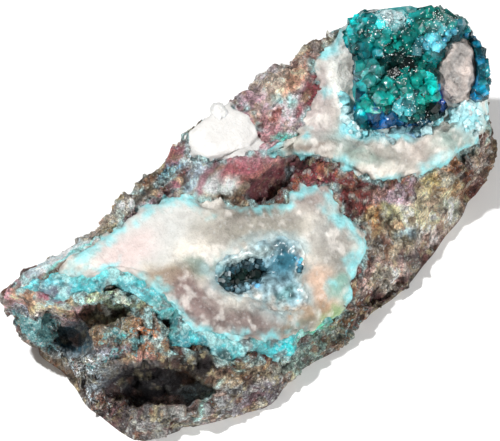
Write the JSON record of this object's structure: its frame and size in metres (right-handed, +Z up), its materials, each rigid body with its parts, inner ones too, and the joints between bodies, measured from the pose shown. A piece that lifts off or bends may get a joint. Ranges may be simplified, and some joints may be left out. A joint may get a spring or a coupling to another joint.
{
  "type": "dioptase specimen",
  "caption": "Hand specimen of emerald-green dioptase on white calcite with a turquoise chrysocolla crust and iron-stained rock, resting on a flat trimmed base.",
  "frame": {"origin": "middle of the specimen's box, on the flat base it rests on", "axes": "+X along the specimen to the dioptase end, +Y from the low front edge to the high back edge, +Z up"},
  "size_m": [0.1109, 0.0539, 0.0355],
  "materials": {
    "iron_stained_rock": "broken, granular rock in maroon, rust, ochre and grey-brown",
    "calcite": "white to pinkish translucent calcite, sugary to smooth, with turquoise edges",
    "chrysocolla": "granular turquoise crust, dull to slightly glossy",
    "dioptase": "glossy emerald to teal crystals, clear at their edges",
    "pocket_dioptase": "small dark green crystals and blue-grey druse, glossy"
  },
  "bodies": {
    "root": {"matrix_rock": "iron_stained_rock", "calcite_pool": "calcite", "calcite_sheet": "calcite", "white_patch": "calcite", "chrysocolla_crust": "chrysocolla", "dioptase_cluster": "dioptase", "pocket_crystals": "pocket_dioptase"}
  },
  "joints": []
}
